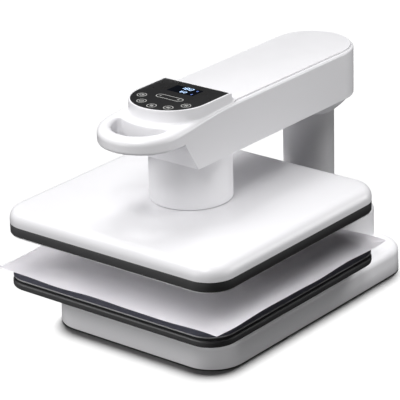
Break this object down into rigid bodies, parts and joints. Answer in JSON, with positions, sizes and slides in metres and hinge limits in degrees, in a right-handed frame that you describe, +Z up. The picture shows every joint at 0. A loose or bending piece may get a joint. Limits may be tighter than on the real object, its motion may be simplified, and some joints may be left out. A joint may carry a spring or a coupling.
{
  "type": "heat press",
  "caption": "Swing-away heat press: arm on a rear column lowers a square heated platen by motor onto a padded lower platen; loop handle and touch panel in front.",
  "frame": {"origin": "on the ground, under the centre of the whole object's box", "axes": "+X to the right seen from the front, +Y to the rear (the column), +Z up; the handle points to -Y"},
  "size_m": [0.408, 0.5666, 0.354],
  "materials": {
    "white_shell": "glossy moulded white",
    "dark_band": "satin dark grey, heat resistant",
    "slate_silicone": "matte slate silicone sponge",
    "black_rubber": "matte",
    "black_glass": "polished black touch panel",
    "display": "lit display under dark glass",
    "black_plastic": "fine grained",
    "coated_cloth": "non-stick coated glass cloth",
    "aluminium": "machined",
    "steel": "plain",
    "brass": "machined",
    "circuit_board": "solder mask",
    "ceramic_board": "fibrous"
  },
  "bodies": {
    "base": {"base_shell": "white_shell", "base_plate": "steel", "foot_front_left": "black_rubber", "foot_front_right": "black_rubber", "foot_rear_left": "black_rubber", "foot_rear_right": "black_rubber", "platen_plinth": "white_shell", "lower_tray": "dark_band", "tray_gasket": "black_rubber", "lower_plate": "aluminium", "silicone_pad": "slate_silicone", "protective_sheet": "coated_cloth", "pedestal_housing": "white_shell", "column_post": "steel", "column_cover": "white_shell", "support_ring": "steel", "thrust_washer": "brass", "retaining_nut": "steel", "board_tray": "black_plastic", "power_board": "circuit_board", "power_relay": "black_plastic", "terminal_block": "black_plastic", "inlet_body": "black_plastic", "inlet_pin_live": "brass", "inlet_pin_neutral": "brass", "inlet_pin_earth": "brass", "switch_housing": "black_plastic"},
    "arm": {"arm_shell": "white_shell", "arm_lid": "white_shell", "console_housing": "white_shell", "panel_glass": "black_glass", "display_module": "display", "control_board": "circuit_board", "arm_frame": "steel", "bridge_plate": "steel", "swing_hub": "steel", "swing_bush_lower": "brass", "swing_bush_upper": "brass", "swing_collar": "white_shell", "press_sleeve": "white_shell", "gearmotor": "steel", "guide_rod_left": "steel", "guide_rod_right": "steel", "screw_bearing": "steel"},
    "ram": {"plunger": "white_shell", "screw_nut": "brass", "guide_bush_left": "brass", "guide_bush_right": "brass", "ram_plate": "steel", "platen_cover": "white_shell", "heat_band": "dark_band", "insulation_board": "ceramic_board", "heating_element": "steel", "heat_plate": "aluminium", "thermal_cutout": "ceramic_board", "heat_sensor": "brass"},
    "screw": {"lead_screw": "steel", "screw_gear": "steel"},
    "motor_gear": {"motor_pinion": "brass"},
    "rocker": {"power_rocker": "black_plastic"}
  },
  "joints": [
    {"name": "arm_swing", "type": "hinge", "parent": "base", "child": "arm", "pos_m": [0, 0.21075, 0.29], "axis": [0, 0, 1], "range_deg": [0, 90]},
    {"name": "platen_press", "type": "slide", "parent": "arm", "child": "ram", "axis": [0, 0, 1], "range_m": [-0.052, 0]},
    {"name": "screw_spin", "type": "hinge", "parent": "arm", "child": "screw", "pos_m": [0, -0.07925, 0.3], "axis": [0, 0, 1], "range_deg": [-1880, 5]},
    {"name": "motor_spin", "type": "hinge", "parent": "arm", "child": "motor_gear", "pos_m": [0, -0.002, 0.32], "axis": [0, 0, 1], "range_deg": [-15, 5300]},
    {"name": "power_switch", "type": "hinge", "parent": "base", "child": "rocker", "pos_m": [0.045, 0.24675, 0.072], "axis": [1, 0, 0], "range_deg": [0, 18]}
  ],
  "couplings": [
    {"joint": "screw_spin", "follows": "platen_press", "rad_per_m": 628.32},
    {"joint": "motor_spin", "follows": "platen_press", "rad_per_m": -1768.6}
  ]
}
